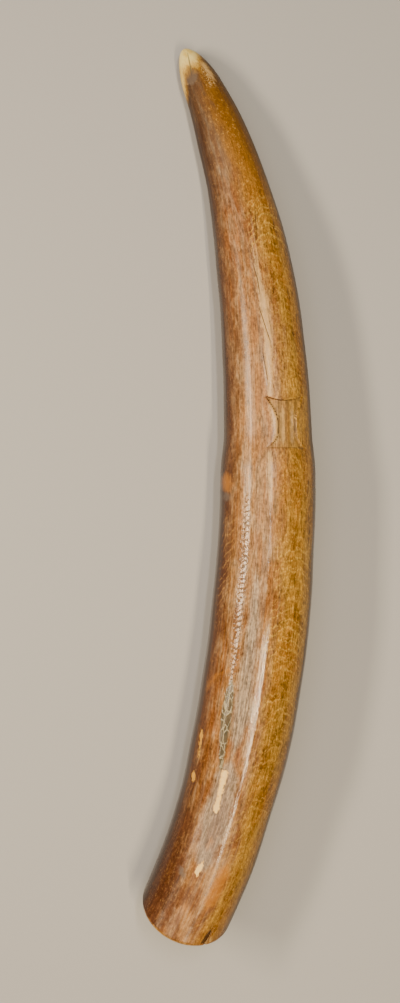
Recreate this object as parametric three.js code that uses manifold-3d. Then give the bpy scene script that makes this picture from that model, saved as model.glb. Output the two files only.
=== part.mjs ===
// An old elephant tusk finished as an altar ornament, lying on its side.
// It is one solid of ivory, bent in one plane and polished by long handling. The root end is cut
// slantwise and holds the open root hollow, and one small recess is carved in the side that faces up.
// The frame is in millimetres: +Y runs towards the tip, +X towards the outside of the bend and +Z up.
// The origin lies on the ground, under the middle of the tusk's box.
import * as THREE from "three";
import { mergeVertices } from "three/addons/utils/BufferGeometryUtils.js";
import Module from "manifold-3d";

// Main sizes, with lengths measured along the tusk's own centreline
const TUSK_LENGTH = 841;
const BELLY_WIDTH = 94;
const SECTION_FLATTENING = 0.94;
const GROUND_FLAT_DEPTH = 0.5;

// Bend: the centreline's turn from +Y towards -X, in degrees, from the root end (-1) to the tip (1)
const BEND_LEAN = -0.56;
const BEND_TURN = 16.43;
const BEND_LOPSIDED = 2.17;
const BEND_TIGHTER_ENDS = 10.83;

// Thickness: [share of the length from the tip, share of half the belly width], read as a smooth line
const THICKNESS = [
  [0.0, 0.304],
  [0.054, 0.413],
  [0.111, 0.534],
  [0.169, 0.615],
  [0.228, 0.717],
  [0.288, 0.787],
  [0.365, 0.843],
  [0.445, 0.885],
  [0.523, 0.909],
  [0.583, 0.919],
  [0.642, 0.943],
  [0.7, 0.947],
  [0.773, 0.943],
  [0.82, 0.932],
  [0.868, 0.891],
  [0.936, 0.885],
  [1.0, 0.868],
];
const NOSE_SHARE = 0.05;
const TIP_LIFT = 3;

// Shoulder: the low step up to the thicker root part
const SHOULDER_STEP = 2.4;
const SHOULDER_SHARE = 0.476;
const SHOULDER_RAMP = 36;

// Carved recess: an hourglass field with fluted ground, its angle counted from the top towards +X.
// Its head, the end nearer the tip, flares gently and sags in the middle; its foot flares sharply.
const RECESS_SHARE = 0.444;
const RECESS_ANGLE = 23;
const RECESS_LENGTH = 48;
const RECESS_END_WIDTH = 41;
const RECESS_WAIST_WIDTH = 18;
const RECESS_DEPTH = 2;
const RECESS_EDGE = 2.2;
const HEAD_FLARE = 1.6;
const FOOT_FLARE = 4;
const HEAD_SAG = 4.5;
const FLUTE_PITCH = 9;
const FLUTE_DEPTH = 0.4;

// Root end: a slanted cut whose upper edge reaches farther, a worn outer edge and the hollow behind it
const CUT_TILT = 26;
const CUT_TURN = 22;
const ROOT_WALL = 9;
const RIM_ROUNDING = 3.5;
const HOLLOW_DEPTH = 250;
const HOLLOW_SWELL = 1.35;

// Drying crack that opens at the rim, its angle counted from the top towards +X
const CRACK_ANGLE = 39;
const CRACK_LENGTH = 17;
const CRACK_WIDTH = 3.2;

// Facets: steps around the section and along the tusk
const FINE_ANGLE_STEP = 3.3;
const COARSE_ANGLE_STEP = 12;
const FINE_STEP = 2.8;
const COARSE_STEP = 22;
const NOSE_STEPS = 7;
const RIM_STEPS = 3;
const HOLLOW_STEPS = 14;
const LINE_STEP = 1;
const BISECTION_STEPS = 40;

const halfBelly = BELLY_WIDTH / 2;
const noseLength = NOSE_SHARE * TUSK_LENGTH;
const recessPlace = RECESS_SHARE * TUSK_LENGTH;
const liftedLength = 3 * noseLength;
const slantedLength = 1.5 * BELLY_WIDTH;

function smoothStep(low, high, x) {
  const t = THREE.MathUtils.clamp((x - low) / (high - low), 0, 1);
  return t * t * (3 - 2 * t);
}

// A smooth line through stations [x, y] in rising x, with the slope at each from its two neighbours
function alongStations(stations, x) {
  const last = stations.length - 1;
  let i = 0;
  while (i < last - 1 && x > stations[i + 1][0]) {
    i += 1;
  }
  const slopeAt = (j) => {
    const before = stations[Math.max(j - 1, 0)];
    const after = stations[Math.min(j + 1, last)];
    return (after[1] - before[1]) / (after[0] - before[0]);
  };
  const [x0, y0] = stations[i];
  const [x1, y1] = stations[i + 1];
  const span = x1 - x0;
  const t = (x - x0) / span;
  const rise = y1 - y0;
  const s0 = slopeAt(i) * span;
  const s1 = slopeAt(i + 1) * span;
  return y0 + t * s0 + t * t * (3 * rise - 2 * s0 - s1) + t * t * t * (s0 + s1 - 2 * rise);
}

// The centreline's direction at a distance from the tip
function heading(fromTip) {
  const u = 1 - (2 * fromTip) / TUSK_LENGTH;
  const bend = BEND_LEAN + BEND_TURN * u + BEND_LOPSIDED * u * u + BEND_TIGHTER_ENDS * u * u * u;
  return THREE.MathUtils.degToRad(bend);
}

// The centreline as points one small step apart, from the tip to past the root end
function walkCentreline() {
  const points = [new THREE.Vector2()];
  while (points.length * LINE_STEP < TUSK_LENGTH + 2 * BELLY_WIDTH) {
    const angle = heading((points.length - 0.5) * LINE_STEP);
    const step = new THREE.Vector2(Math.sin(angle), -Math.cos(angle)).multiplyScalar(LINE_STEP);
    points.push(step.add(points[points.length - 1]));
  }
  return points;
}

const linePoints = walkCentreline();

function centrelineXY(fromTip) {
  const place = THREE.MathUtils.clamp(fromTip / LINE_STEP, 0, linePoints.length - 1.001);
  const i = Math.floor(place);
  return new THREE.Vector2().lerpVectors(linePoints[i], linePoints[i + 1], place - i);
}

// Half width before the tip is rounded off
function bluntHalfWidth(fromTip) {
  const share = THREE.MathUtils.clamp(fromTip / TUSK_LENGTH, 0, 1);
  const shoulder = SHOULDER_SHARE * TUSK_LENGTH;
  const raised = smoothStep(shoulder - SHOULDER_RAMP / 2, shoulder + SHOULDER_RAMP / 2, fromTip);
  return halfBelly * alongStations(THICKNESS, share) + SHOULDER_STEP * raised;
}

function halfWidth(fromTip) {
  const gap = Math.max(0, 1 - fromTip / noseLength);
  return bluntHalfWidth(fromTip) * Math.sqrt(Math.max(0, 1 - gap * gap));
}

// How far the surface is carved in at a place: the recess and the flutes on its ground
function carvedDepth(fromTip, angle, radius) {
  const along = fromTip - recessPlace;
  const around = THREE.MathUtils.degToRad(angle - RECESS_ANGLE) * radius;
  const towardsEnd = Math.min(1, Math.abs(along) / (RECESS_LENGTH / 2));
  const flare = Math.pow(towardsEnd, along < 0 ? HEAD_FLARE : FOOT_FLARE);
  const reach = (RECESS_WAIST_WIDTH + (RECESS_END_WIDTH - RECESS_WAIST_WIDTH) * flare) / 2;
  const sideways = smoothStep(-RECESS_EDGE / 2, RECESS_EDGE, reach - Math.abs(around));
  const fromSide = Math.min(1, Math.abs(around) / (RECESS_END_WIDTH / 2));
  const sag = HEAD_SAG * (1 - fromSide * fromSide);
  const toHead = RECESS_LENGTH / 2 + along - sag;
  const toFoot = RECESS_LENGTH / 2 - along;
  const lengthways = smoothStep(-RECESS_EDGE / 2, RECESS_EDGE, Math.min(toHead, toFoot));
  const flute = FLUTE_DEPTH * Math.cos((2 * Math.PI * around) / FLUTE_PITCH);
  return sideways * lengthways * (RECESS_DEPTH - flute);
}

// A point of the section at a distance from the tip; inset is the depth below the outer skin
function sectionPoint(fromTip, angle, inset, scale) {
  const turn = heading(fromTip);
  const centre = centrelineXY(fromTip);
  const wide = halfWidth(fromTip);
  const phi = THREE.MathUtils.degToRad(angle);
  const depth = inset + (inset === 0 ? carvedDepth(fromTip, angle, wide) : 0);
  const across = (wide - depth) * scale * Math.sin(phi);
  const up = (wide * SECTION_FLATTENING - depth) * scale * Math.cos(phi);
  const nearTip = Math.max(0, 1 - fromTip / liftedLength);
  const middle = bluntHalfWidth(fromTip) * SECTION_FLATTENING + TIP_LIFT * nearTip * nearTip;
  return new THREE.Vector3(
    centre.x + across * Math.cos(turn),
    centre.y + across * Math.sin(turn),
    middle + up
  );
}

// The plane of the slanted cut, through the centreline's root end, its normal pointing out of the tusk
function cutPlane() {
  const end = centrelineXY(TUSK_LENGTH);
  const middle = bluntHalfWidth(TUSK_LENGTH) * SECTION_FLATTENING;
  const turn = THREE.MathUtils.degToRad(-CUT_TURN);
  const tilt = THREE.MathUtils.degToRad(CUT_TILT);
  const normal = new THREE.Vector3(
    Math.sin(turn) * Math.cos(tilt),
    -Math.cos(turn) * Math.cos(tilt),
    -Math.sin(tilt)
  );
  const through = new THREE.Vector3(end.x, end.y, middle);
  return new THREE.Plane().setFromNormalAndCoplanarPoint(normal, through);
}

// Angles around the section: fine steps over the recess and coarse ones elsewhere
function sectionAngles() {
  const fineWidth = RECESS_END_WIDTH / 2 + 1.5 * RECESS_EDGE;
  const reach = THREE.MathUtils.radToDeg(fineWidth / halfWidth(recessPlace));
  const fineCount = Math.ceil((2 * reach) / FINE_ANGLE_STEP);
  const coarseCount = Math.ceil((360 - 2 * reach) / COARSE_ANGLE_STEP);
  const angles = [];
  for (let i = 0; i < fineCount; i += 1) {
    angles.push(RECESS_ANGLE - reach + (2 * reach * i) / fineCount);
  }
  for (let i = 0; i < coarseCount; i += 1) {
    angles.push(RECESS_ANGLE + reach + ((360 - 2 * reach) * i) / coarseCount);
  }
  return angles;
}

// Distances from the tip, from the first ring behind the point to the worn rim
function bodyStations(rimStart) {
  const stations = [];
  for (let i = 1; i <= NOSE_STEPS; i += 1) {
    stations.push(noseLength * (1 - Math.cos((Math.PI / 2) * (i / NOSE_STEPS))));
  }
  const fineReach = RECESS_LENGTH / 2 + 2 * RECESS_EDGE;
  const stretches = [
    [noseLength, recessPlace - fineReach, COARSE_STEP],
    [recessPlace - fineReach, recessPlace + fineReach, FINE_STEP],
    [recessPlace + fineReach, rimStart, COARSE_STEP],
  ];
  for (const [from, to, step] of stretches) {
    const count = Math.ceil((to - from) / step);
    for (let i = 1; i <= count; i += 1) {
      stations.push(from + ((to - from) * i) / count);
    }
  }
  return stations;
}

// How far past the centreline's end the cut lies at an angle, for a point at a depth below the skin
function reachToCut(plane, angle, inset, scale) {
  let low = TUSK_LENGTH - BELLY_WIDTH;
  let high = TUSK_LENGTH + BELLY_WIDTH;
  for (let i = 0; i < BISECTION_STEPS; i += 1) {
    const middle = (low + high) / 2;
    const beyond = plane.distanceToPoint(sectionPoint(middle, angle, inset, scale)) > 0;
    low = beyond ? low : middle;
    high = beyond ? middle : high;
  }
  return (low + high) / 2;
}

function ontoPlane(plane, point) {
  return plane.projectPoint(point, new THREE.Vector3());
}

// The whole skin as rings from the tip over the outside, round the rim and up the hollow
function tuskRings(plane, angles) {
  const shear = angles.map((angle) => reachToCut(plane, angle, 0, 1) - TUSK_LENGTH);
  const shearStart = TUSK_LENGTH - slantedLength;
  const sheared = (fromTip, i) => fromTip + shear[i] * smoothStep(shearStart, TUSK_LENGTH, fromTip);
  const rimStart = TUSK_LENGTH - RIM_ROUNDING;
  const rings = [];
  for (const fromTip of bodyStations(rimStart)) {
    rings.push(angles.map((angle, i) => sectionPoint(sheared(fromTip, i), angle, 0, 1)));
  }
  for (let k = 1; k <= RIM_STEPS; k += 1) {
    const turned = (Math.PI / 2) * (k / RIM_STEPS);
    const inset = RIM_ROUNDING * (1 - Math.cos(turned));
    const fromTip = rimStart + RIM_ROUNDING * Math.sin(turned);
    const ring = angles.map((angle, i) => sectionPoint(sheared(fromTip, i), angle, inset, 1));
    rings.push(k === RIM_STEPS ? ring.map((point) => ontoPlane(plane, point)) : ring);
  }
  for (let k = 0; k < HOLLOW_STEPS; k += 1) {
    const share = k / HOLLOW_STEPS;
    const scale = 1 - Math.pow(share, HOLLOW_SWELL);
    const ring = angles.map((angle) => {
      const mouth = reachToCut(plane, angle, ROOT_WALL, 1);
      const fromTip = THREE.MathUtils.lerp(mouth, TUSK_LENGTH - HOLLOW_DEPTH, share);
      return sectionPoint(fromTip, angle, ROOT_WALL, scale);
    });
    rings.push(k === 0 ? ring.map((point) => ontoPlane(plane, point)) : ring);
  }
  return rings;
}

// A closed skin from rings of equal length, ended by a point at each end
function closedSkin(first, rings, last) {
  const count = rings[0].length;
  const points = [first, ...rings.flat(), last];
  const corners = [];
  const at = (ring, i) => 1 + ring * count + (i % count);
  for (let i = 0; i < count; i += 1) {
    corners.push(0, at(0, i), at(0, i + 1));
    corners.push(points.length - 1, at(rings.length - 1, i + 1), at(rings.length - 1, i));
  }
  for (let ring = 0; ring + 1 < rings.length; ring += 1) {
    for (let i = 0; i < count; i += 1) {
      corners.push(at(ring, i), at(ring + 1, i), at(ring + 1, i + 1));
      corners.push(at(ring, i), at(ring + 1, i + 1), at(ring, i + 1));
    }
  }
  const geometry = new THREE.BufferGeometry().setFromPoints(points);
  geometry.setIndex(corners);
  return geometry;
}

// The open crack: a thin wedge, wide at the rim, that passes through the wall
function crackWedge(plane) {
  const outline = new THREE.Shape();
  outline.moveTo(-CRACK_WIDTH, -CRACK_LENGTH);
  outline.lineTo(CRACK_WIDTH, -CRACK_LENGTH);
  outline.lineTo(0, CRACK_LENGTH);
  outline.closePath();
  const deep = 2.5 * ROOT_WALL;
  const wedge = new THREE.ExtrudeGeometry(outline, { depth: deep, bevelEnabled: false });
  wedge.translate(0, 0, -deep / 2);
  const fromTip = reachToCut(plane, CRACK_ANGLE, 0, 1);
  const turn = heading(fromTip);
  const phi = THREE.MathUtils.degToRad(CRACK_ANGLE);
  const towardsTip = new THREE.Vector3(-Math.sin(turn), Math.cos(turn), 0);
  const outwards = new THREE.Vector3(
    Math.sin(phi) * Math.cos(turn),
    Math.sin(phi) * Math.sin(turn),
    Math.cos(phi)
  );
  const sideways = new THREE.Vector3().crossVectors(towardsTip, outwards);
  const place = new THREE.Matrix4().makeBasis(sideways, towardsTip, outwards);
  place.setPosition(sectionPoint(fromTip, CRACK_ANGLE, 0, 1));
  return wedge.applyMatrix4(place);
}

// The ground's upper side as a slab, which leaves the narrow flat that the tusk lies on
function groundSlab() {
  const side = 3 * TUSK_LENGTH;
  const slab = new THREE.BoxGeometry(side, side, BELLY_WIDTH);
  return slab.translate(0, 0, GROUND_FLAT_DEPTH - BELLY_WIDTH / 2);
}

const wasm = await Module();
wasm.setup();

function solidOf(geometry) {
  const bare = geometry.clone();
  bare.deleteAttribute("normal");
  bare.deleteAttribute("uv");
  const merged = mergeVertices(bare, 1e-4);
  const mesh = new wasm.Mesh({
    numProp: 3,
    vertProperties: new Float32Array(merged.attributes.position.array),
    triVerts: new Uint32Array(merged.index.array),
  });
  return new wasm.Manifold(mesh);
}

function geometryOf(solid) {
  const mesh = solid.getMesh();
  const geometry = new THREE.BufferGeometry();
  geometry.setAttribute("position", new THREE.BufferAttribute(mesh.vertProperties, 3));
  geometry.setIndex(new THREE.BufferAttribute(mesh.triVerts, 1));
  return geometry;
}

function tuskGeometry() {
  const plane = cutPlane();
  const rings = tuskRings(plane, sectionAngles());
  const tip = sectionPoint(0, 0, 0, 1);
  const hollowEnd = sectionPoint(TUSK_LENGTH - HOLLOW_DEPTH, 0, ROOT_WALL, 0);
  const skin = solidOf(closedSkin(tip, rings, hollowEnd));
  const cracked = skin.subtract(solidOf(crackWedge(plane)));
  const geometry = geometryOf(cracked.subtract(solidOf(groundSlab())));
  geometry.computeBoundingBox();
  const box = geometry.boundingBox;
  const middle = box.getCenter(new THREE.Vector3());
  geometry.translate(-middle.x, -middle.y, -box.min.z);
  geometry.computeVertexNormals();
  return geometry;
}

const ivory = new THREE.MeshStandardMaterial({ color: 0x8a5f3c, roughness: 0.32, metalness: 0 });

const tusk = new THREE.Mesh(tuskGeometry(), ivory);
tusk.name = "tusk";

const ornament = new THREE.Group();
ornament.add(tusk);

export default ornament;
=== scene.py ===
import bpy
import numpy as np
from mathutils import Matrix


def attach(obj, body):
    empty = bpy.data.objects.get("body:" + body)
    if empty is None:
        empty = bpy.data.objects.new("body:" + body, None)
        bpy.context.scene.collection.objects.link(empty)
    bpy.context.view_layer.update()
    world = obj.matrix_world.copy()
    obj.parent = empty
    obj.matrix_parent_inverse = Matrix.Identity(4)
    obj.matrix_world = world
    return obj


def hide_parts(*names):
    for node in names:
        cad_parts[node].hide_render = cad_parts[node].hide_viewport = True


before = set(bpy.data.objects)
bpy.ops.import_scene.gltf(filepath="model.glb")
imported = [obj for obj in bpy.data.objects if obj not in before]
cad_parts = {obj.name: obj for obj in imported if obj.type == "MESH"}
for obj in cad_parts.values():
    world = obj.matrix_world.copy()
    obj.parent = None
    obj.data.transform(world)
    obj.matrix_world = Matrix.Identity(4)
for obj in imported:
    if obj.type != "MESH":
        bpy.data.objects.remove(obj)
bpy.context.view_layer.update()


# The view: the tusk lies on its side and is seen from straight above, tip upwards.
# The picture is 400 by 1003 points, and the tusk fills nearly all of its height.
# The focal length is in picture points, and the eye stands 1.25 m over the floor.
PICTURE_HEIGHT = 1003
FOCAL_POINTS = 1285.0
SENSOR_MM = 36.0
EYE = (-0.0275, -0.0137, 1.25)

camera_data = bpy.data.cameras.new("eye")
camera_data.sensor_width = SENSOR_MM
camera_data.lens = FOCAL_POINTS / PICTURE_HEIGHT * SENSOR_MM
camera = bpy.data.objects.new("eye", camera_data)
camera.location = EYE
bpy.context.scene.collection.objects.link(camera)
bpy.context.scene.camera = camera


# The tusk's body: one solid piece of elephant ivory, bent in one plane and thinner towards the tip.
# It has been polished by long handling, so its surface is smooth with faint lengthways ripples.
# Lengths run along the centreline from the tip, in metres; angles count from the top towards +X.
MM = 0.001
TUSK_LENGTH = 841 * MM
HALF_BELLY = 47 * MM
FLATTENING = 0.94
NOSE = 0.05 * TUSK_LENGTH
TIP_LIFT = 3 * MM
LIFTED_LENGTH = 3 * NOSE
SHOULDER_PLACE = 0.476 * TUSK_LENGTH
SHOULDER_STEP = 2.4 * MM
SHOULDER_RAMP = 36 * MM

# The centreline's turn in degrees: its constant, and its shares of u, u^2 and u^3
BEND = (-0.56, 16.43, 2.17, 10.83)

# Half the thickness as a share of the belly's, at shares of the length from the tip
THICKNESS_AT = (
    0, 0.054, 0.111, 0.169, 0.228, 0.288, 0.365, 0.445, 0.523,
    0.583, 0.642, 0.7, 0.773, 0.82, 0.868, 0.936, 1,
)
THICKNESS = (
    0.304, 0.413, 0.534, 0.615, 0.717, 0.787, 0.843, 0.885, 0.909,
    0.919, 0.943, 0.947, 0.943, 0.932, 0.891, 0.885, 0.868,
)


def smooth_step(low, high, x):
    """0 below low and 1 above high, with t * t * (3 - 2 t) between them."""
    t = np.clip((x - low) / (high - low), 0, 1)
    return t * t * (3 - 2 * t)


def heading(from_tip):
    """The centreline's turn from +Y towards -X: a cubic in u, which runs from 1 at the tip to -1."""
    u = 1 - 2 * from_tip / TUSK_LENGTH
    lean, turn, lopsided, tighter = BEND
    return np.radians(lean + turn * u + lopsided * u**2 + tighter * u**3)


# The centreline in steps of a millimetre, a quarter longer than the tusk, for the slanted cut
line_at = np.arange(0, 1.25 * TUSK_LENGTH, MM)
line_turn = heading(line_at[:-1] + MM / 2)
line_x = np.concatenate([[0], np.cumsum(np.sin(line_turn) * MM)])
line_y = np.concatenate([[0], np.cumsum(-np.cos(line_turn) * MM)])


def blunt_half_width(from_tip):
    """A cubic through the thickness stations, plus the shoulder's smooth step.

    The cubic's slope at each station is the slope between its two neighbours.
    """
    at = np.array(THICKNESS_AT)
    size = np.array(THICKNESS)
    slope = np.empty_like(size)
    slope[1:-1] = (size[2:] - size[:-2]) / (at[2:] - at[:-2])
    slope[0] = (size[1] - size[0]) / (at[1] - at[0])
    slope[-1] = (size[-1] - size[-2]) / (at[-1] - at[-2])
    share = np.clip(from_tip / TUSK_LENGTH, 0, 1)
    i = np.clip(np.searchsorted(at, share) - 1, 0, len(at) - 2)
    span = at[i + 1] - at[i]
    t = (share - at[i]) / span
    rise = size[i + 1] - size[i]
    leaving = slope[i] * span
    arriving = slope[i + 1] * span
    bend = 3 * rise - 2 * leaving - arriving
    twist = leaving + arriving - 2 * rise
    smooth = size[i] + t * leaving + t**2 * bend + t**3 * twist
    past_shoulder = from_tip - SHOULDER_PLACE
    raised = smooth_step(-SHOULDER_RAMP / 2, SHOULDER_RAMP / 2, past_shoulder)
    return HALF_BELLY * smooth + SHOULDER_STEP * raised


def half_width(from_tip):
    """The blunt half width times a quarter ellipse over the length of the nose."""
    gap = np.clip(1 - from_tip / NOSE, 0, 1)
    return blunt_half_width(from_tip) * np.sqrt(1 - gap**2)


def section_point(from_tip, angle, depth=0.0, scale=1.0):
    """The centreline's place plus an ellipse across it, at a depth under the surface.

    The ellipse is (w - d) sin a across and (0.94 w - d) cos a upwards, times the scale.
    """
    turn = heading(from_tip)
    wide = half_width(from_tip)
    across = (wide - depth) * scale * np.sin(angle)
    up = (wide * FLATTENING - depth) * scale * np.cos(angle)
    lift = TIP_LIFT * np.clip(1 - from_tip / LIFTED_LENGTH, 0, 1) ** 2
    middle = blunt_half_width(from_tip) * FLATTENING + lift
    x = np.interp(from_tip, line_at, line_x) + across * np.cos(turn)
    y = np.interp(from_tip, line_at, line_y) + across * np.sin(turn)
    return np.stack(np.broadcast_arrays(x, y, middle + up), -1)


# The carved recess: an hourglass field cut 2 mm into the upper side, its ground in shallow flutes.
# Its head sags in the middle and its foot flares sharply, and a rounded lobe stands at each side
# of its waist, where the carver left the ivory a little proud.
RECESS_PLACE = 0.444 * TUSK_LENGTH
RECESS_ANGLE = np.radians(23)
RECESS_LENGTH = 48 * MM
RECESS_END_WIDTH = 41 * MM
RECESS_WAIST = 18 * MM
RECESS_DEPTH = 2 * MM
RECESS_EDGE = 1.0 * MM
FOOT_SHALLOWER = 0.45
HEAD_FLARE = 1.6
FOOT_FLARE = 4.0
HEAD_SAG = 4.5 * MM
FLUTE_PITCH = 9 * MM
FLUTE_DEPTH = 0.4 * MM
LOBE_RISE = 0.7 * MM
LOBE_TOP = 1 * MM
LOBE_FOOT = 10 * MM
LOBE_FADE = 0.35 * RECESS_LENGTH


def within_edge(distance):
    """A smooth step from 0 to 1 over the width of the recess's edge, three tenths of it outside."""
    return smooth_step(-0.3 * RECESS_EDGE, 0.7 * RECESS_EDGE, distance)


def recess_depth(from_tip, angle):
    """The recess's depth at a place, its outline there, and how far the place lies inside it.

    Inside is a step s across the hourglass's side, w/2 + flare t^k from its middle, times one
    across its sagging head and its foot. The depth is s times the ground less a cosine of flutes.
    The outline is 4 s (1 - s), which is 1 on the middle of the step, for the grime and painted shade
    in it.
    """
    along = from_tip - RECESS_PLACE
    around = (angle - RECESS_ANGLE) * half_width(np.asarray(RECESS_PLACE))
    t = np.clip(np.abs(along) / (RECESS_LENGTH / 2), 0, 1)
    flare = np.where(along < 0, t**HEAD_FLARE, t**FOOT_FLARE)
    reach = (RECESS_WAIST + (RECESS_END_WIDTH - RECESS_WAIST) * flare) / 2
    sag = HEAD_SAG * np.clip(1 - (2 * around / RECESS_END_WIDTH) ** 2, 0, 1)
    ends = np.minimum(along + RECESS_LENGTH / 2 - sag, RECESS_LENGTH / 2 - along)
    inside = within_edge(reach - np.abs(around)) * within_edge(ends)
    to_foot = np.clip(along / (RECESS_LENGTH / 2), 0, 1)
    ground = RECESS_DEPTH * (1 - FOOT_SHALLOWER * to_foot**2)
    flute = FLUTE_DEPTH * np.cos(2 * np.pi * around / FLUTE_PITCH)
    beside = np.abs(around) - reach
    lobe = LOBE_RISE * smooth_step(LOBE_FOOT, LOBE_TOP, beside) * smooth_step(0, LOBE_FADE, ends)
    outline = 4 * inside * (1 - inside)
    return inside * (ground - flute) - lobe * (beside > 0), outline, inside


# Losses, cracks and worn places of the surface, which long use and drying have left, and the places
# of painted highlights and sheen on its polished top.
# Each is a middle line of (from the tip, across), and half its width along it as (from the tip,
# half width), all in millimetres. A half width under zero lets a place fade out at its end.
CREAM_LOSSES = {
    "long": (
        [(695, -11), (704, -10.8), (712, -10.5), (721, -9.9), (731, -10.1), (736, -9.5)],
        [
            (693.6, -1), (695.4, 2.8), (704, 2.7), (712, 2.3), (721, 1.7),
            (727, 2), (731, 2.7), (735.5, 2.4), (737.4, -1),
        ],
    ),
    "slanting": (
        [(779, -5.4), (784.5, -6.8), (792.5, -7.9), (797, -7.6)],
        [(777.5, -0.6), (784.5, 1.5), (788, 2), (792.5, 2.5), (796, 1.8), (798, -1)],
    ),
}
AMBER_LOSSES = {
    "needle": (
        [(664, -39.4), (677, -38.2), (695, -36.9)],
        [(662.5, -1), (668, 1.35), (677, 1.1), (687, 0.9), (692, 0.5), (696, -1)],
    ),
    "drop": ([(705, -38), (718, -36.2)], [(703.5, -1), (710, 2), (716, 0.9), (719, -1)]),
}
AMBER_PLACES = {
    "spot": ([(419, -40), (440, -38.5)], [(417, -2), (424, 3.5), (431, 5), (437, 3), (442, -2)]),
    "upper_fleck": ([(759, -6.3), (770, -6.8)], [(757, -1), (761, 0.9), (768, 0.8), (772, -1)]),
    "lower_fleck": ([(824, -7.2), (832, -4.6)], [(822, -1), (826, 1), (830, 0.9), (834, -1)]),
    "scratch": (
        [(602, -23.5), (606, -27), (611, -35.5), (625, -41)],
        [(600, -1), (603, 1.2), (620, 1.0), (628, -1)],
    ),
    "flute": ([(364, 18.3), (394, 17.6)], [(358, -3), (366, 0.6), (390, 0.6), (397, -3)]),
    "low_patch": ([(780, 15), (815, 13)], [(770, -4), (785, 6), (815, 6), (828, -4)]),
}
# Pale places: the strip, the lobe and the place below it are painted highlights where light catches
# the polished top, and the nick and the chip are wear
RUBBED_AND_SHEEN_PLACES = {
    "strip": (
        [(225, 0), (242, 0.5), (257, 2), (278, 1.9), (291, 2.8), (310, 1.8), (349, 1.2)],
        [
            (210, -2), (225, 1.8), (242, 2.6), (257, 4), (278, 4.8),
            (291, 4), (310, 4), (335, 3.6), (349, 2.6), (352, -2),
        ],
    ),
    "lobe": (
        [(355, 1.5), (371, 4.8), (381, 6.3), (390, 5.2), (397, 1.6)],
        [(351, -1), (357, 2.4), (371, 3.8), (384, 3.8), (392, 2.8), (398, -1)],
    ),
    "below_lobe": ([(400, -0.5), (460, 1)], [(397, -2), (402, 2.5), (440, 2), (470, -2)]),
    "pale_flute": ([(362, 12.5), (394, 12.5)], [(354, -2), (366, 2.6), (390, 2.6), (397, -2)]),
    "beside_point": ([(16, 6), (50, 13)], [(12, -3), (24, 3), (40, 2.5), (54, -3)]),
    "nick": ([(33, -15.5), (36, -14), (39, -6)], [(31, -2), (35, 0.8), (37.5, 1.6), (40, -2)]),
    "chip": ([(842, 29.5), (856, 28)], [(840, -2), (847, 1.6), (862, 2)]),
}
# Greyer places, partly grey patina and partly a painted sheen of the highlights over the top
ASHEN_PLACES = {
    "between_streaks": (
        [(500, -9), (595, -8), (668, -7)],
        [(480, -6), (530, 5), (605, 8), (640, 10), (665, 6), (690, -6)],
    ),
    "below_crackle": (
        [(690, -8), (745, -7), (785, -6)],
        [(675, -6), (700, 11), (740, 14), (780, 9), (806, -8)],
    ),
    "near_rim": ([(825, -16), (850, -12)], [(815, -8), (835, 3), (850, 3), (862, -6)]),
    "flute": ([(362, 22), (394, 22)], [(356, -3), (366, 0.2), (390, 0.2), (397, -3)]),
}
SMOKY_PLACES = {
    "behind_point": ([(20, -6.5), (38, -9)], [(17, -2), (21, 4), (28, 7.5), (35, 7), (41, -1)]),
    "smudge": ([(438, -39.5), (447, -39)], [(436, -2), (441, 3), (445, 2.5), (449, -2)]),
    "low_smudge": ([(793, -25), (804, -18)], [(791, -3), (797, 3), (802, 2.5), (807, -3)]),
}
CRACKLED_PLACES = {
    "crackle": (
        [(575, -21.5), (612, -21), (645, -20.5), (680, -17.5), (700, -14.5)],
        [
            (604, -3), (616, 2), (624, 3.8), (645, 4.8),
            (667, 3.6), (680, 2.4), (694, 1.5), (700, -2),
        ],
    ),
}
BEADED_PLACES = {
    "streak": (
        [(430, -21), (575, -21.5), (612, -21)],
        [(415, -3), (455, 3), (575, 3.5), (610, 2), (622, -3)],
    ),
}
CRACKS = {
    "point": ([(5, 1.4), (32, -7)], [(3, -0.5), (9, 0.4), (24, 0.6), (34, -0.5)]),
    "upper": (
        [(168, 9.8), (184, 7.3), (204, 5)],
        [(166, -0.3), (175, 0.25), (200, 0.25), (207, -0.3)],
    ),
    "left": (
        [(224, -3.2), (241, -0.8), (257, -0.3)],
        [(222, -0.3), (232, 0.35), (250, 0.35), (260, -0.3)],
    ),
    "slant": (
        [(264, -3.2), (285, 1.1), (304, 5.6)],
        [(262, -0.3), (272, 0.35), (296, 0.4), (306, -0.3)],
    ),
    "strip": (
        [(307, -3.6), (330, -0.8), (349, 0.4)],
        [(306, -0.3), (312, 0.5), (330, 0.4), (350, -0.2)],
    ),
    "flute": ([(360, 16.4), (396, 15.4)], [(358, -0.5), (367, 0.2), (391, 0.2), (397, -0.5)]),
    "pits": (
        [(631, 7), (639, 6.4)],
        [(630, -0.5), (631.5, 0.8), (633, -0.5), (636.5, -0.5), (638, 0.7), (640, -0.5)],
    ),
    "rim": ([(837, 26), (844, 25.2), (856, 24)], [(836, -0.5), (840, 1), (846, 2.2), (870, 2.6)]),
}
# Two thin pale lines of painted highlight, where light catches ripples on the left of the top
PAINTED_HIGHLIGHT_LINES = {
    "left": (
        [(298, -14.5), (352, -16.8), (425, -19.5)],
        [(296, -0.6), (310, 0.5), (400, 0.6), (428, -0.6)],
    ),
    "right": (
        [(298, -10.8), (352, -13.6), (412, -15)],
        [(296, -0.6), (310, 0.4), (395, 0.4), (414, -0.6)],
    ),
}

# Farther than any mark reaches, in millimetres, and how deep a loss or a crack is hollowed
FAR = 50.0
HOLLOWED = 0.3 * MM


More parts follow.
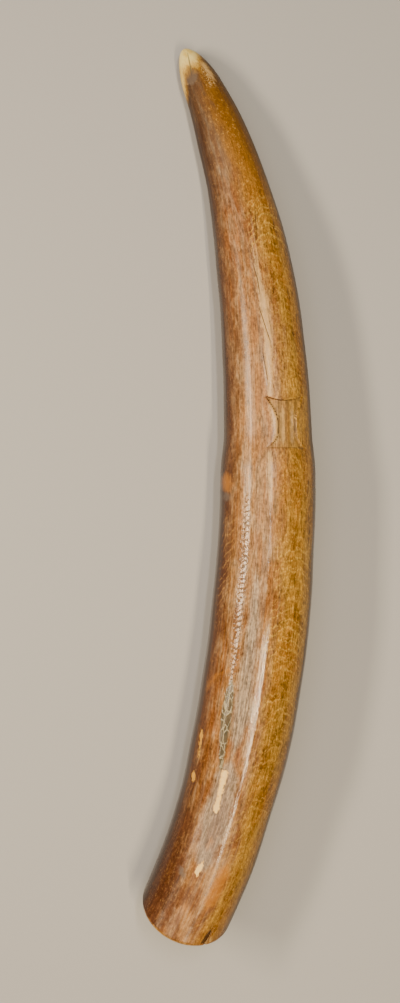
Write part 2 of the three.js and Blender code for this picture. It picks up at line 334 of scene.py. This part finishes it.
def nearest_line(lines, from_tip, across):
    """The line of a set that a place is farthest inside of or nearest to: its offset and half width.

    Both are in millimetres. Beyond a line's ends, the half width falls by the distance from them.
    """
    nearest_offset = np.full(np.broadcast(from_tip, across).shape, FAR)
    nearest_half = np.full_like(nearest_offset, -FAR)
    for middle, half in lines.values():
        offset = across / MM - np.interp(from_tip / MM, *zip(*middle))
        beyond = np.maximum(half[0][0] - from_tip / MM, from_tip / MM - half[-1][0])
        width = np.interp(from_tip / MM, *zip(*half)) - np.maximum(beyond, 0)
        nearer = width - np.abs(offset) > nearest_half - np.abs(nearest_offset)
        nearest_offset = np.where(nearer, offset, nearest_offset)
        nearest_half = np.where(nearer, width, nearest_half)
    return nearest_offset, nearest_half


def reach_into(places, from_tip, across):
    """How far a place lies inside any of a set: half the width less the distance from the line."""
    offset, half = nearest_line(places, from_tip, across)
    return half - np.abs(offset)


# The root end: cut off slantwise, so that its upper edge reaches farther, with a worn outer edge.
# Behind it is the open root hollow with a wall 9 mm thick, and a drying crack opens at the rim.
CUT_TILT = np.radians(26)
CUT_TURN = np.radians(22)
ROOT_WALL = 9 * MM
RIM_ROUNDING = 3.5 * MM
LEANING_LENGTH = 3 * HALF_BELLY
HOLLOW_DEPTH = 250 * MM
HOLLOW_SWELL = 1.35
CRACK_ANGLE = np.radians(39)
CRACK_LENGTH = 17 * MM
CRACK_WIDTH = 3.2 * MM
HALVINGS = 40
cut_normal = np.array(
    [
        -np.sin(CUT_TURN) * np.cos(CUT_TILT),
        -np.cos(CUT_TURN) * np.cos(CUT_TILT),
        -np.sin(CUT_TILT),
    ]
)
root_middle = section_point(np.asarray(TUSK_LENGTH), 0.0, scale=0.0)


def reach_to_cut(angle, inset):
    """Where a line along the tusk at an angle and a depth meets the cut's plane, by halving."""
    low = np.full_like(angle, TUSK_LENGTH - 2 * HALF_BELLY)
    high = np.full_like(angle, TUSK_LENGTH + 2 * HALF_BELLY)
    for _ in range(HALVINGS):
        middle = (low + high) / 2
        before = (section_point(middle, angle, inset) - root_middle) @ cut_normal > 0
        low = np.where(before, low, middle)
        high = np.where(before, middle, high)
    return (low + high) / 2


# The skin as one closed grid: down the outside, round the rim and up the hollow to its end.
# Its lines lie closer where the carving, the point, the rim and the rim's crack need them.
RING_COUNT = 550
COLUMN_COUNT = 150
NOSE_RINGS = 34
HOLLOW_RINGS = 30
RIM_RINGS = 7
FINE_STEPS = 4000
FACET_HEIGHT = 0.04 * MM
SWELL_HEIGHT = 0.1 * MM
GROUND_FLAT = 0.5 * MM
KEPT_INSIDE = 0.99995


def by_density(start, stop, count, density, closed):
    """Count places from start to stop, spaced in inverse proportion to a density."""
    fine = np.linspace(start, stop, FINE_STEPS)
    total = np.concatenate([[0], np.cumsum((density(fine[1:]) + density(fine[:-1])) / 2)])
    return np.interp(np.linspace(0, total[-1], count, endpoint=closed), total, fine)


def ring_density(from_tip):
    """1, plus 1.6 times a flat-topped bell exp(-t^8) at the recess, plus 1.2 near the rim."""
    at_recess = np.exp(-(((from_tip - RECESS_PLACE) / (0.62 * RECESS_LENGTH)) ** 8))
    at_rim = smooth_step(TUSK_LENGTH - 30 * MM, TUSK_LENGTH - 20 * MM, from_tip)
    return 1 + 1.6 * at_recess + 1.2 * at_rim


def column_density(angle):
    """1, plus 3 over the upper side, plus 3 times a narrow bell exp(-t^4) at the rim's crack."""
    on_upper_side = smooth_step(np.radians(105), np.radians(80), np.abs(angle))
    at_crack = np.exp(-(((angle - CRACK_ANGLE) / np.radians(4)) ** 4))
    return 1 + 3 * on_upper_side + 3 * at_crack


angles = by_density(-np.pi, np.pi, COLUMN_COUNT, column_density, False)
nose = NOSE * (1 - np.cos(np.pi / 2 * np.arange(1, NOSE_RINGS + 1) / NOSE_RINGS))
body = by_density(NOSE, TUSK_LENGTH - RIM_ROUNDING, RING_COUNT, ring_density, True)[1:]
outside = np.concatenate([nose, body])[:, None]

crack_across = (angles - CRACK_ANGLE) * half_width(np.asarray(TUSK_LENGTH))
notch = CRACK_LENGTH * np.clip(1 - np.abs(crack_across) / (CRACK_WIDTH / 2), 0, 1)
shear = reach_to_cut(angles, 0.0) - TUSK_LENGTH - notch
mouth = reach_to_cut(angles, ROOT_WALL) - notch


def sheared(from_tip):
    """The length plus the shear times a smooth step: the last rings lean over to end in the cut."""
    return from_tip + shear * smooth_step(TUSK_LENGTH - LEANING_LENGTH, TUSK_LENGTH, from_tip)


def ripples(from_tip, angle):
    """Faint lengthways facets and long swells: sums of two sines, each raised to stay above 0."""
    facets = np.sin(17 * angle + 6 * np.sin(5 * from_tip)) + np.sin(29 * angle + 9 * from_tip)
    swells = np.sin(61 * from_tip + 2 * np.sin(angle)) + np.sin(97 * from_tip + 3 * angle)
    depth = FACET_HEIGHT * (facets + 2) + SWELL_HEIGHT * (swells + 2)
    return depth * smooth_step(0, NOSE, from_tip)


skin_length = sheared(outside)
skin_across = half_width(skin_length) * np.sin(angles)
on_top = np.cos(angles) > 0
skin_depth, recess_outline, in_recess = recess_depth(skin_length, angles)
for marks, softness in ((CREAM_LOSSES, 0.6), (AMBER_LOSSES, 0.6), (CRACKS, 0.9)):
    sunk = smooth_step(-softness, softness, reach_into(marks, skin_length, skin_across))
    skin_depth = skin_depth + HOLLOWED * on_top * sunk
skin_depth = skin_depth + ripples(skin_length, angles)
outer_rings = section_point(skin_length, angles, skin_depth)

rim_share = np.arange(1, RIM_RINGS + 1) / RIM_RINGS
turned = (np.pi / 2 * rim_share)[:, None]
rim_length = sheared(TUSK_LENGTH - RIM_ROUNDING + RIM_ROUNDING * np.sin(turned))
rim_inset = RIM_ROUNDING * (1 - np.cos(turned))
rim_rings = section_point(rim_length, angles, rim_inset + ripples(rim_length, angles))

up_hollow = np.arange(HOLLOW_RINGS) / HOLLOW_RINGS
hollow_scale = (1 - up_hollow**HOLLOW_SWELL)[:, None]
hollow_length = mouth + (TUSK_LENGTH - HOLLOW_DEPTH - mouth) * up_hollow[:, None]
hollow_rings = section_point(hollow_length, angles, ROOT_WALL, hollow_scale)

rings = np.concatenate([outer_rings, rim_rings, hollow_rings])
tip_point = section_point(np.asarray(0.0), 0.0)
hollow_end = section_point(np.asarray(TUSK_LENGTH - HOLLOW_DEPTH), 0.0, scale=0.0)
points = np.concatenate([[tip_point], rings.reshape(-1, 3), [hollow_end]])

# The underside is worn to a narrow flat. The whole is moved to where the solid lies, and drawn in
# by a twenty-thousandth, so that no point passes the solid's box
points[:, 2] = np.maximum(points[:, 2], GROUND_FLAT) - GROUND_FLAT
points[:, :2] -= (points[:, :2].min(0) + points[:, :2].max(0)) / 2
points[:, :2] *= KEPT_INSIDE

# The straightened tusk: across, along and up, as if the bend were taken out, for the patterns
lengths = np.concatenate([skin_length, rim_length, hollow_length])
insets = np.concatenate(
    [
        np.zeros_like(skin_length),
        np.broadcast_to(rim_inset, rim_length.shape),
        np.full_like(hollow_length, ROOT_WALL),
    ]
)
straight_size = half_width(np.minimum(lengths, TUSK_LENGTH)) - insets
straight_size[-HOLLOW_RINGS:] *= hollow_scale
straight = np.stack([straight_size * np.sin(angles), lengths, straight_size * np.cos(angles)], -1)
straight_end = [0, TUSK_LENGTH - HOLLOW_DEPTH, 0]
straight = np.concatenate([[[0, 0, 0]], straight.reshape(-1, 3), [straight_end]])

column = np.arange(COLUMN_COUNT)
following = (column + 1) % COLUMN_COUNT
ring = np.arange(len(rings) - 1)[:, None] * COLUMN_COUNT + 1
below = ring + COLUMN_COUNT
quads = np.stack([ring + column, below + column, below + following, ring + following], -1)
last = (len(rings) - 1) * COLUMN_COUNT + 1
tip_fan = np.stack([column * 0, 1 + column, 1 + following], -1)
hollow_fan = np.stack([column * 0 + len(points) - 1, last + following, last + column], -1)
faces = quads.reshape(-1, 4).tolist() + tip_fan.tolist() + hollow_fan.tolist()

tusk_mesh = bpy.data.meshes.new("tusk_skin")
tusk_mesh.from_pydata(points.tolist(), [], faces)
tusk_mesh.polygons.foreach_set("use_smooth", np.ones(len(tusk_mesh.polygons), bool))


# What the finish needs to know at each point of the grid: how far it lies from the marks, the cracks
# and the edges of the patina's zones, which the carver's hands and the years have drawn, and from the
# painted highlights and the recess's outline with its painted shade.
# The lines of the zones are (from the tip, across), in millimetres, and the arches have a strength.
INNER_EDGE = [
    (0, -9), (70, -17), (200, -20), (430, -29), (600, -31), (720, -29), (770, -22), (810, -12),
    (850, -12),
]
OUTER_EDGE = [
    (0, 2), (70, -5), (130, -1), (200, 5), (300, 14), (560, 11), (690, 13), (760, 19), (840, 19),
]
ARCH_MIDDLE = [(0, 20), (170, 22), (206, 14), (300, 18), (480, 27), (560, 24), (640, 28), (840, 24)]
ARCH_STRENGTH = [
    (160, 0.1), (172, 1), (205, 0.9), (225, 0.25), (300, 0.3), (320, 0.5), (345, 0.3), (410, 0.3),
    (470, 0.3), (495, 1), (535, 0.5), (565, 1), (600, 0.5), (612, 0.3), (630, 1), (655, 0.4),
    (720, 0.45), (840, 0.2),
]

# The bare point's edge, as (across, from the tip)
BARE_EDGE = [(-19, 46), (-17, 40), (-12, 25), (-6, 22), (-2, 24), (3, 26), (7, 19), (12, 14)]
UNDERSIDE_SHARE = 0.6

along_mm = skin_length / MM
across_mm = skin_across / MM


def beside_line(line):
    """The distance across from a line that is given as (from the tip, across)."""
    return across_mm - np.interp(along_mm, *zip(*line))


# Each layer is a grid of values on the outside, and the one value that it has round the rim and in
# the hollow. The underside has that value too, but for the edges of the two zones, which go on there
places = {
    "cream": CREAM_LOSSES,
    "amber": AMBER_LOSSES,
    "amber_soft": AMBER_PLACES,
    "rubbed_and_sheen": RUBBED_AND_SHEEN_PLACES,
    "ashen": ASHEN_PLACES,
    "smoky": SMOKY_PLACES,
    "crackled": CRACKLED_PLACES,
    "beaded": BEADED_PLACES,
}
layers = {name: (reach_into(marks, skin_length, skin_across), -FAR) for name, marks in places.items()}
for name, lines in (("crack", CRACKS), ("line", PAINTED_HIGHLIGHT_LINES)):
    offset, half = nearest_line(lines, skin_length, skin_across)
    layers[name + "_offset"] = (offset, FAR)
    layers[name + "_half"] = (half, -1.0)
layers["grime_and_shade"] = (recess_outline, 0.0)
layers["recess"] = (in_recess, 0.0)
layers["from_arch"] = (beside_line(ARCH_MIDDLE), FAR)
layers["arch_strength"] = (np.interp(along_mm, *zip(*ARCH_STRENGTH)), 0.0)
layers["bare"] = (np.interp(across_mm, *zip(*BARE_EDGE)) - along_mm, -FAR)
layers = {name: (np.where(on_top, grid, far), far) for name, (grid, far) in layers.items()}
for name, edge in (("from_inner", INNER_EDGE), ("from_outer", OUTER_EDGE)):
    grid = np.where(on_top, beside_line(edge), UNDERSIDE_SHARE * across_mm)
    layers[name] = (grid, 0.0)


def store(name, kind, key, values):
    """Keep a value for each point of the grid in the mesh."""
    stored = tusk_mesh.attributes.new(name, kind, "POINT")
    stored.data.foreach_set(key, values.astype(np.float32).ravel())


store("straight", "FLOAT_VECTOR", "vector", straight)
for name, (grid, far) in layers.items():
    beyond_skin = np.full((RIM_RINGS + HOLLOW_RINGS) * COLUMN_COUNT + 1, far)
    store(name, "FLOAT", "value", np.concatenate([[grid[0].mean()], grid.ravel(), beyond_skin]))

# The wear grows over the rim's turn, and inside grows from the cut end to the hollow's end
no_skin = np.zeros(len(outside))
worn = np.concatenate([no_skin, np.clip(2 * rim_share - 0.6, 0, 1), up_hollow * 0])
deep = np.concatenate([no_skin, rim_share * 0, 0.05 + up_hollow])
for name, by_ring, at_end in (("worn_edge", worn, 0.0), ("inside", deep, 1.05)):
    values = np.repeat(by_ring, COLUMN_COUNT)
    store(name, "FLOAT", "value", np.concatenate([[0.0], values, [at_end]]))

tusk_mesh.update()
tusk_skin = bpy.data.objects.new("tusk_skin", tusk_mesh)
bpy.context.scene.collection.objects.link(tusk_skin)
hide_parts("tusk")
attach(tusk_skin, "root")


# The ivory's finish: a cream material under a thick brown patina of oil, handling and smoke.
# The patina is worn through at the point and along the rim, and small flakes of it are lost.
# Lengths in it are in millimetres: along from the tip, across from the top, and rise upwards.
ivory = bpy.data.materials.new("aged_ivory")
ivory.use_nodes = True
tree = ivory.node_tree
tree.nodes.clear()


class Field:
    """A socket with the arithmetic of the shader's Math nodes."""

    def __init__(self, socket):
        self.socket = socket

    def math(self, operation, *others):
        return node("ShaderNodeMath", {"operation": operation}, dict(enumerate((self, *others))))

    def __add__(self, other):
        return self.math("ADD", other)

    def __sub__(self, other):
        return self.math("SUBTRACT", other)

    def __rsub__(self, other):
        return node("ShaderNodeMath", {"operation": "SUBTRACT"}, {0: other, 1: self})

    def __mul__(self, other):
        return self.math("MULTIPLY", other)

    def __truediv__(self, other):
        return self.math("DIVIDE", other)

    __radd__ = __add__
    __rmul__ = __mul__

    def size(self):
        return self.math("ABSOLUTE")

    def sine(self):
        return self.math("SINE")

    def most(self, other):
        return self.math("MAXIMUM", other)

    def swing(self, width):
        """A noise's swing about its middle value, so many units wide."""
        return (self - 0.5) * width

    def step(self, low, high):
        """0 below low and 1 above high, smooth between; the other way round where low is greater."""
        settings = {"interpolation_type": "SMOOTHSTEP"}
        values = {"Value": self, "From Min": min(low, high), "From Max": max(low, high)}
        rising = node("ShaderNodeMapRange", settings, values)
        return 1 - rising if low > high else rising


def node(kind, settings, values, output=0):
    """One node of a kind: its settings are set first, then each socket's value or link."""
    made = tree.nodes.new(kind)
    for name, value in settings.items():
        setattr(made, name, value)
    for key, value in values.items():
        socket = made.inputs[key]
        if isinstance(value, Field):
            tree.links.new(value.socket, socket)
        else:
            socket.default_value = value
    return Field(made.outputs[output])


def paint(code):
    """A colour written as six hexadecimal digits, as the shader's linear values."""
    share = np.array([int(code[i : i + 2], 16) for i in (0, 2, 4)]) / 255
    linear = np.where(share <= 0.04045, share / 12.92, ((share + 0.055) / 1.055) ** 2.4)
    return (*linear.tolist(), 1.0)


def over(factor, under, top, blend="MIX"):
    """The top colour laid over the one under it by a factor."""
    settings = {"data_type": "RGBA", "blend_type": blend}
    return node("ShaderNodeMix", settings, {0: factor, 6: under, 7: top}, 2)


def noise(cells, detail=3.0, roughness=0.55):
    """Fractal noise with so many cells per metre across, along and up."""
    scaled = node("ShaderNodeVectorMath", {"operation": "MULTIPLY"}, {0: straightened, 1: cells})
    values = {"Vector": scaled, "Scale": 1.0, "Detail": detail, "Roughness": roughness}
    return node("ShaderNodeTexNoise", {}, values)


def layer(name):
    """One of the values that the grid carries at its points."""
    return node("ShaderNodeAttribute", {"attribute_name": name}, {}, 2)


straightened = node("ShaderNodeAttribute", {"attribute_name": "straight"}, {}, 1)
across, along, rise = [
    node("ShaderNodeSeparateXYZ", {}, {0: straightened}, axis) / MM for axis in range(3)
]
upper = rise.step(-6, 4)

patches = noise((34, 10, 34), 4)
clouds = noise((110, 40, 110), 4)
ripple = noise((260, 5, 260), 2)
grain = noise((620, 45, 620), 3, 0.6)
threads = noise((1100, 120, 1100), 2, 0.6)
mottle = noise((430, 260, 430), 4, 0.65)
specks = noise((900, 560, 900), 2, 0.6)

# Zones across the upper side: red-brown on the inner side of the bend, ochre on the outer side
wander = patches.swing(24) + clouds.swing(22) + grain.swing(6) + mottle.swing(4)
inner = (layer("from_inner") + wander).step(10, -15)
outer = (layer("from_outer") + wander).step(-8, 10)
near_tip = along.step(210, 90)
low_end = along.step(640, 800)

brown = over(clouds.step(0.36, 0.64), paint("845428"), paint("a87842"))
brown = over(patches.step(0.5, 0.62) * 0.2, brown, paint("b0683a"))
brown = over(along.step(230, 330) * along.step(560, 440) * 0.35, brown, paint("bc8e5a"))
brown = over(near_tip * 0.75, brown, paint("7c5737"))
red = over(patches.step(0.4, 0.6), paint("50280e"), paint("5e320e"))
red = over(low_end * 0.6, red, paint("38190a"))
red = over(clouds.step(0.5, 0.66) * 0.25, red, paint("70400c"))
red = over(along.step(360, 140) * 0.8, red, paint("5a3c28"))
colour = over(inner * 0.95, brown, red)
ochre = over(clouds.step(0.36, 0.64), paint("8e6418"), paint("b98a30"))
ochre = over(patches.step(0.46, 0.6) * 0.45, ochre, paint("a86a18"))
ochre = over(near_tip * 0.7, ochre, paint("a86c0a"))
colour = over(outer * 0.9, colour, ochre)

# Greyer stretches along the top, partly rubbed patina and partly a painted sheen, and dark stains
rubbed_and_sheen = ripple.step(0.44, 0.6) * 0.25 + clouds.step(0.5, 0.64) * 0.25 * (1 - 0.7 * low_end)
rubbed_and_sheen = upper * (1 - inner) * (1 - outer) * rubbed_and_sheen
ashen = (layer("ashen") + clouds.swing(12) + mottle.swing(6)).step(-4, 5)
ashen = ashen * (0.75 - 0.4 * along.step(800, 825))
ashen_tone = over(grain.step(0.4, 0.6), paint("8a7b66"), paint("aa9a82"))
ashen_tone = over(low_end * 0.6, ashen_tone, paint("988c80"))
colour = over(rubbed_and_sheen.most(ashen), colour, ashen_tone)
low_shadow = low_end * upper * clouds.step(0.52, 0.42) * (1 - outer)
colour = over(low_shadow * 0.4, colour, paint("70482c"))
stain = patches.step(0.52, 0.66) * clouds.step(0.44, 0.58)
stain = stain * (0.2 + 0.3 * inner * along.step(380, 460) - 0.12 * near_tip)
colour = over(stain, colour, paint("45230e"))

# Growth lines of the ivory, cut open by the surface: nested arches on the outer side, in groups,
# and slanting lines on the inner side. Each is a sine of the length plus a term in the distance
# across: the arches 9 mm and 3.7 mm apart, the slanting lines 8.5 mm
from_middle = layer("from_arch") + clouds.swing(10)
arch_phase = along - from_middle * from_middle * 0.04 + mottle.swing(4) + clouds.swing(14)
arch_wave = (arch_phase * (2 * np.pi / 9.0)).sine() + 0.7 * (arch_phase * (2 * np.pi / 3.7)).sine()
arches = (arch_wave + threads.swing(1)).step(0.35, 1.2)
arches = arches * from_middle.size().step(23, 15) * layer("arch_strength")
colour = over(arches * mottle.step(0.34, 0.52) * 0.75, colour, paint("d2a448"))
slant_phase = along + across * 1.4 + clouds.swing(18) + mottle.swing(3)
slants = (slant_phase * (2 * np.pi / 8.5)).sine().step(0.6, 1.0)
slants = slants * (across + 36).size().step(12, 4) * upper
slants = slants * along.step(445, 480) * along.step(575, 530) * grain.step(0.38, 0.52)
colour = over(slants * 0.5, colour, paint("b98a4c"))

# Fine grain, threads and speckle, as a grey that darkens or lightens the colour. It is calmer near
# the tip, at the inner side and at the low end
calmed = 0.55 * near_tip.most(inner * 0.7).most(low_end * 0.6)
shade = grain.swing(1.4) + threads.swing(1.8) + mottle.swing(1.9)
shade = (0.96 + shade * (1 - calmed)) * (1 - 0.26 * along.step(190, 70))
pitted = specks.step(0.5, 0.62) * (0.12 + 0.18 * outer)
shade = shade.most(0.4) * (1 - 0.1 * outer * along.step(560, 620)) * (1 - pitted)
grey = node("ShaderNodeCombineColor", {}, {0: shade, 1: shade, 2: shade})
colour = over(1.0, colour, grey, "MULTIPLY")
bright_specks = specks.step(0.46, 0.36) * mottle.step(0.5, 0.6) * (0.25 + 0.5 * outer)
colour = over(bright_specks, colour, paint("d0a458"))

# The flanks are darkened with painted shade, the more so the steeper they are
flank_shade = over(inner, paint("2a1808"), paint("220c04"))
steep_shade = (across.size() / rise.most(1)).step(0.6, 3.2) * 0.85
colour = over(upper * steep_shade.most(rise.step(30, 6) * 0.68), colour, flank_shade)

# Pale places, partly rubbed wear and partly painted highlight, amber and smoky ones, the recess's
# paler ground, and grime with painted shade in its outline
pale = (layer("rubbed_and_sheen") + mottle.swing(6) + grain.swing(6)).step(-1.5, 2.5)
colour = over(pale * (0.25 + 0.7 * threads), colour, paint("deb676"))
# The two thin lines of painted highlight along ripples on the left of the top
painted_highlight_line = layer("line_half") - layer("line_offset").size() + mottle.swing(0.8)
colour = over(painted_highlight_line.step(-0.4, 0.4) * 0.5, colour, paint("d0a078"))
amber_soft = (layer("amber_soft") + mottle.swing(6) + grain.swing(5)).step(-3, 4)
colour = over(amber_soft * 0.6, colour, paint("b8741e"))
smoky = (layer("smoky") + mottle.swing(7)).step(-2.5, 2.5)
colour = over(smoky * 0.75, colour, paint("65564a"))
colour = over(layer("recess") * 0.3, colour, paint("8e7444"))
# Grime and painted shade in the recess's outline along its carved step, weaker on its right side and
# at its foot
grime_and_shade = layer("grime_and_shade").step(0.02, 0.5) * (0.6 + 0.5 * mottle)
grime_and_shade = grime_and_shade * across.step(30, 21) * (1 - 0.5 * along.step(393, 396))
colour = over(grime_and_shade, colour, paint("30190a"))

# A glassy crackled stretch of dark grey patina with pale joints, which are partly painted glints of
# the highlight over it, and a beaded one above it
wobble = node("ShaderNodeCombineXYZ", {}, {0: clouds * 2.0, 1: mottle * 0.6, 2: 0.0})
cell_values = {0: straightened, 1: (250, 110, 250), 2: wobble}
cell_place = node("ShaderNodeVectorMath", {"operation": "MULTIPLY_ADD"}, cell_values)
joint_values = {"Vector": cell_place, "Scale": 1.0, "Randomness": 1.0}
joints = node("ShaderNodeTexVoronoi", {"feature": "DISTANCE_TO_EDGE"}, joint_values)
crackled = (layer("crackled") + mottle.swing(4)).step(-1.2, 1.2)
colour = over(crackled * 0.8, colour, paint("43463a"))
colour = over(crackled * joints.step(0.09, 0.02) * (0.15 + threads), colour, paint("bcae8a"))
crossing = (along * 1.25 + across * 0.5 + mottle.swing(10) + clouds.swing(16)).sine()
beads = (layer("beaded") + mottle.swing(3)).step(-1.2, 1.2) * crossing.step(0.55, 0.9)
colour = over(beads * 0.6, colour, paint("3e2e1c"))

# Losses: cream or amber ivory where the patina has flaked away
flaked = layer("cream") + mottle.swing(7) + grain.swing(4)
cream = flaked.step(-0.35, 0.35)
cream_tone = over(grain.step(0.4, 0.6) * 0.2, paint("ffdc92"), paint("e0a850"))
cream_tone = over(flaked.step(1.4, 0.0) * 0.7, cream_tone, paint("e8aa3c"))
colour = over(cream, colour, cream_tone)
amber = (layer("amber") + mottle.swing(5) + grain.swing(3)).step(-0.3, 0.4)
amber_tone = over(grain.step(0.4, 0.6) * 0.5, paint("e0a840"), paint("b87a18"))
colour = over(amber * 0.9, colour, amber_tone)

# The point: cream where it is worn bare, fading through yellow and amber into the patina, with
# pale flecks on the outer side
flecks = specks.step(0.5, 0.6) * along.step(20, 27) * along.step(54, 46)
flecks = flecks * (across - 7).size().step(5, 2)
colour = over(flecks * 0.7, colour, paint("d8b478"))
bare = layer("bare") + mottle.swing(12) + grain.swing(8)
colour = over(bare.step(-10, 3) * 0.65, colour, paint("b4821e"))
colour = over(bare.step(-3, 6), colour, paint("dab765"))
tip_tone = over(clouds.step(0.42, 0.6), paint("eeda8c"), paint("dcbc5e"))
colour = over(bare.step(2, 13), colour, tip_tone)

# The cracks, dark with old grime, and grey-green where one runs into the bare point
cracked = layer("crack_half") - layer("crack_offset").size() + mottle.swing(0.8)
cracked = cracked.step(-0.25, 0.25)
crack_tone = over(along.step(60, 40), paint("2a190d"), paint("67634a"))
colour = over(cracked * 0.8, colour, crack_tone)

# The rim's worn edge, and the dry ivory of the cut end and of the hollow, darker towards its end
colour = over(layer("worn_edge") * (0.5 + 0.7 * mottle), colour, paint("d2b078"))
inside = layer("inside")
dry = inside.step(0.0, 0.03)
end_tone = over(mottle.step(0.4, 0.65), paint("b4946a"), paint("8c6c48"))
hollow_tone = over(inside.step(0.12, 0.75), end_tone, paint("3f2b1b"))
colour = over(dry, colour, hollow_tone)

# The gloss of handled ivory, duller at both ends, in the recess and where the patina is lost
polished = along.step(530, 600) * along.step(800, 740) * (across - 12).size().step(18, 6)
roughness = 0.13 + mottle.swing(0.25) + clouds.swing(0.25) + 0.25 * cream + 0.06 * outer
roughness = roughness + 0.3 * beads + 0.14 * along.step(470, 400)
roughness = roughness + 0.14 * along.step(200, 110) + 0.12 * low_end
roughness = roughness - 0.06 * polished + 0.35 * layer("recess") + 0.4 * dry
height = (0.03 * ripple + 0.04 * grain + 0.025 * threads + 0.08 * mottle + 0.03 * specks) * MM
height = height - (0.25 * cracked + 0.15 * beads + 0.06 * crackled * joints.step(0.0, 0.12)) * MM
bump = node("ShaderNodeBump", {}, {"Height": height, "Strength": 1.0, "Distance": 1.0})
finish = {"Base Color": colour, "Roughness": roughness, "IOR": 1.36, "Normal": bump}
shader = node("ShaderNodeBsdfPrincipled", {}, finish)
output = tree.nodes.new("ShaderNodeOutputMaterial")
tree.links.new(shader.socket, output.inputs["Surface"])
tusk_mesh.materials.append(ivory)


# The floor: a plain pale surface that the tusk lies on, matt like painted board.
# It is one square, wide enough to reach past the edges of every view from above.
FLOOR_SIZE = 12.0
FLOOR_GREY = 0.42
FLOOR_ROUGHNESS = 0.9

edge = FLOOR_SIZE / 2
corners = [(-edge, -edge, 0), (edge, -edge, 0), (edge, edge, 0), (-edge, edge, 0)]
floor_mesh = bpy.data.meshes.new("floor")
floor_mesh.from_pydata(corners, [], [(0, 1, 2, 3)])
floor = bpy.data.objects.new("floor", floor_mesh)
bpy.context.scene.collection.objects.link(floor)
floor_paint = bpy.data.materials.new("floor_paint")
floor_paint.use_nodes = True
floor_shader = floor_paint.node_tree.nodes["Principled BSDF"]
floor_shader.inputs["Base Color"].default_value = (FLOOR_GREY, FLOOR_GREY, FLOOR_GREY, 1)
floor_shader.inputs["Roughness"].default_value = FLOOR_ROUGHNESS
floor_mesh.materials.append(floor_paint)


# The light: a wide soft box above and a little to the left, two long strips that draw the two
# highlights along the tusk, one low on the left and one beside the eye below the middle, a short
# one beside the eye above the middle, and a dim warm surround.
SOFT_TINT = (1.0, 0.9, 0.77)
LEFT_TINT = (1.0, 0.81, 0.57)
RIGHT_TINT = (1.0, 0.79, 0.5)
SURROUND = (1.0, 0.95, 0.9, 1)
SURROUND_STRENGTH = 0.1


def soft_box(name, place, width, length, power, tint=SOFT_TINT, turn=0.0):
    """A rectangular lamp facing the floor's middle line, its length along +Y but for a turn."""
    lamp = bpy.data.lights.new(name, "AREA")
    lamp.shape = "RECTANGLE"
    lamp.size = width
    lamp.size_y = length
    lamp.energy = power
    lamp.color = tint
    box = bpy.data.objects.new(name, lamp)
    box.location = place
    box.rotation_euler = (0, np.arctan2(place[0], place[2]), turn)
    bpy.context.scene.collection.objects.link(box)


soft_box("overhead_box", (-0.35, 0.0, 1.65), width=0.9, length=1.9, power=9)
soft_box("left_strip", (-1.2, 0.12, 1.15), width=0.18, length=0.76, power=27, tint=LEFT_TINT)
soft_box(
    "right_strip", (0.43, -0.76, 1.7), width=0.022, length=0.87, power=27,
    tint=RIGHT_TINT, turn=np.radians(5),
)
soft_box("upper_strip", (0.22, 0.32, 1.7), width=0.06, length=0.6, power=11)
world = bpy.data.worlds.new("surround")
bpy.context.scene.world = world
world.use_nodes = True
background = world.node_tree.nodes["Background"]
background.inputs["Color"].default_value = SURROUND
background.inputs["Strength"].default_value = SURROUND_STRENGTH
